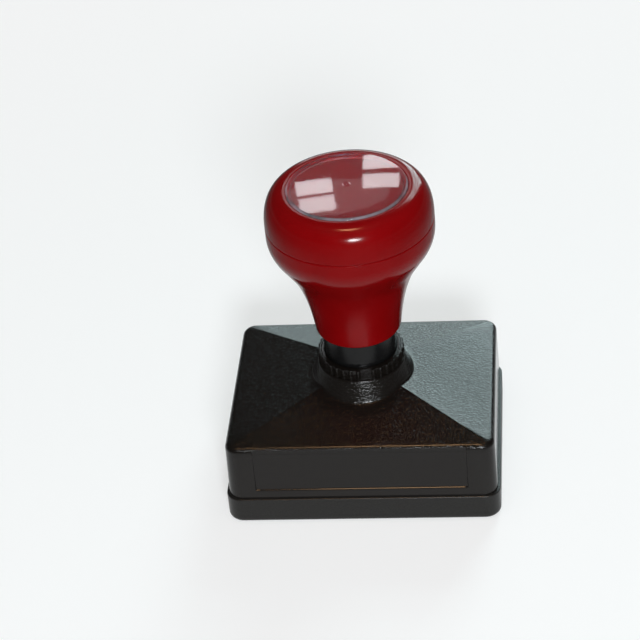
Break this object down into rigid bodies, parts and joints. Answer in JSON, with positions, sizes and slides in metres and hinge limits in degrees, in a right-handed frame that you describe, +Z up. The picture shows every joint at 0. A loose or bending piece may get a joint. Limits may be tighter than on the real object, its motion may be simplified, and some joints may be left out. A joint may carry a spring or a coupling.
{
  "type": "pre-inked stamp",
  "caption": "Pre-inked hand stamp: a mushroom handle slides on a guide tube and presses a sprung die out of a hip-roofed housing, with a depth ring, lens and dust cap.",
  "frame": {"origin": "middle of the dust cap's flat underside, on the handle's axis", "axes": "+Z up along the handle's axis, X along the housing's long side, the label panel faces -Y"},
  "size_m": [0.072, 0.0572, 0.0867],
  "materials": {
    "red_gloss": "polished red moulded plastic",
    "black_textured": "black moulded plastic with a fine spark-eroded grain",
    "black_smooth": "smooth black moulded plastic",
    "black_cap": "satin black moulded plastic",
    "clear_lens": "clear moulded acrylic",
    "steel": "zinc-plated steel",
    "spring_steel": "drawn spring wire",
    "nylon": "natural nylon",
    "ink_foam": "open-cell foam soaked with dark ink",
    "die_rubber": "microporous die rubber",
    "grey_plastic": "dark grey moulded plastic"
  },
  "bodies": {
    "cap": {"dust_cap": "black_cap"},
    "frame": {"housing": "black_textured", "guide_tube": "black_smooth", "tube_screws": "steel", "rod_bush": "nylon", "return_spring": "spring_steel"},
    "handle": {"handle_body": "red_gloss", "handle_cap": "red_gloss", "push_rod": "steel", "rod_nut": "steel", "rod_washer": "steel", "die_carrier": "black_smooth", "carrier_screw": "steel", "carrier_washer": "steel", "ink_pad": "ink_foam", "stamp_die": "die_rubber", "die_frame": "grey_plastic"},
    "lens": {"index_lens": "clear_lens"},
    "washer": {"stop_washer": "black_textured"},
    "ring": {"adjusting_ring": "black_textured"}
  },
  "joints": [
    {"name": "housing_lift", "type": "slide", "parent": "cap", "child": "frame", "axis": [0, 0, 1], "range_m": [0, 0.025]},
    {"name": "handle_press", "type": "slide", "parent": "frame", "child": "handle", "axis": [0, 0, -1], "range_m": [0, 0.005], "stiffness_N_per_m": 600, "springref_m": -0.01, "deforming": ["return_spring"]},
    {"name": "lens_lift", "type": "slide", "parent": "handle", "child": "lens", "axis": [0, 0, 1], "range_m": [0, 0.012]},
    {"name": "ring_climb", "type": "slide", "parent": "frame", "child": "washer", "axis": [0, 0, 1], "range_m": [0, 0.0015]},
    {"name": "ring_turn", "type": "hinge", "parent": "washer", "child": "ring", "pos_m": [0, 0, 0.0346], "axis": [0, 0, 1], "range_deg": [0, 360]}
  ],
  "couplings": [
    {"joint": "ring_climb", "follows": "ring_turn", "m_per_rad": 0.0002387}
  ]
}
